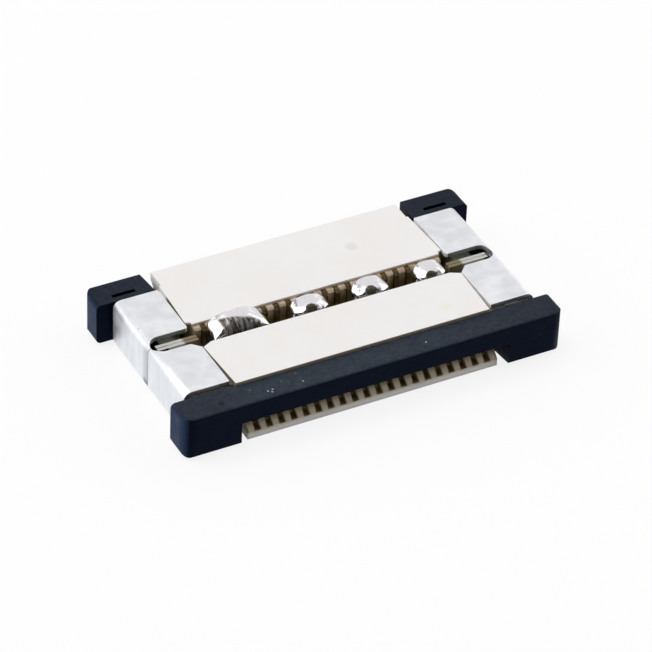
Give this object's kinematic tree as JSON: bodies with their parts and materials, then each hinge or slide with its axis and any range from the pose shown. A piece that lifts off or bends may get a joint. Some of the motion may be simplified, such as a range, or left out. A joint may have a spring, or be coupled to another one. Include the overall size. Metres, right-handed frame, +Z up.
{
  "type": "led strip connector",
  "caption": "Flat splice connector for LED strips: two slide-lock flat-flex sockets soldered tail to tail, one turned over, with metal end shells and black locking bars.",
  "frame": {"origin": "on the plane that the shells' lower faces rest on, below the middle of the splice", "axes": "+X along the row of contacts, +Y from the front mouth to the back mouth, +Z up, out of the front socket's roof"},
  "size_m": [0.0156, 0.0088, 0.0023],
  "materials": {
    "cream_plastic": "satin moulded",
    "black_plastic": "fine moulded grain",
    "tinned_sheet": "satin tin plate",
    "solder": "bright solder",
    "plated_contact": "satin plated"
  },
  "bodies": {
    "splice": {"front_housing": "cream_plastic", "back_housing": "cream_plastic", "front_left_shell": "tinned_sheet", "front_right_shell": "tinned_sheet", "back_left_shell": "tinned_sheet", "back_right_shell": "tinned_sheet", "solder_joint_1": "solder", "solder_joint_2": "solder", "solder_joint_3": "solder", "solder_joint_4": "solder", "front_contact_1": "plated_contact", "front_contact_2": "plated_contact", "front_contact_3": "plated_contact", "front_contact_4": "plated_contact", "front_contact_5": "plated_contact", "front_contact_6": "plated_contact", "front_contact_7": "plated_contact", "front_contact_8": "plated_contact", "front_contact_9": "plated_contact", "front_contact_10": "plated_contact", "front_contact_11": "plated_contact", "front_contact_12": "plated_contact", "front_contact_13": "plated_contact", "front_contact_14": "plated_contact", "front_contact_15": "plated_contact", "front_contact_16": "plated_contact", "front_contact_17": "plated_contact", "front_contact_18": "plated_contact", "front_contact_19": "plated_contact", "front_contact_20": "plated_contact", "back_contact_1": "plated_contact", "back_contact_2": "plated_contact", "back_contact_3": "plated_contact", "back_contact_4": "plated_contact", "back_contact_5": "plated_contact", "back_contact_6": "plated_contact", "back_contact_7": "plated_contact", "back_contact_8": "plated_contact", "back_contact_9": "plated_contact", "back_contact_10": "plated_contact", "back_contact_11": "plated_contact", "back_contact_12": "plated_contact", "back_contact_13": "plated_contact", "back_contact_14": "plated_contact", "back_contact_15": "plated_contact", "back_contact_16": "plated_contact", "back_contact_17": "plated_contact", "back_contact_18": "plated_contact", "back_contact_19": "plated_contact", "back_contact_20": "plated_contact"},
    "front_slider": {"front_slider": "black_plastic"},
    "back_slider": {"back_slider": "black_plastic"}
  },
  "joints": [
    {"name": "front_slider_pull", "type": "slide", "parent": "splice", "child": "front_slider", "axis": [0, -1, 0], "range_m": [0, 0.001]},
    {"name": "back_slider_pull", "type": "slide", "parent": "splice", "child": "back_slider", "axis": [0, 1, 0], "range_m": [0, 0.001]}
  ]
}
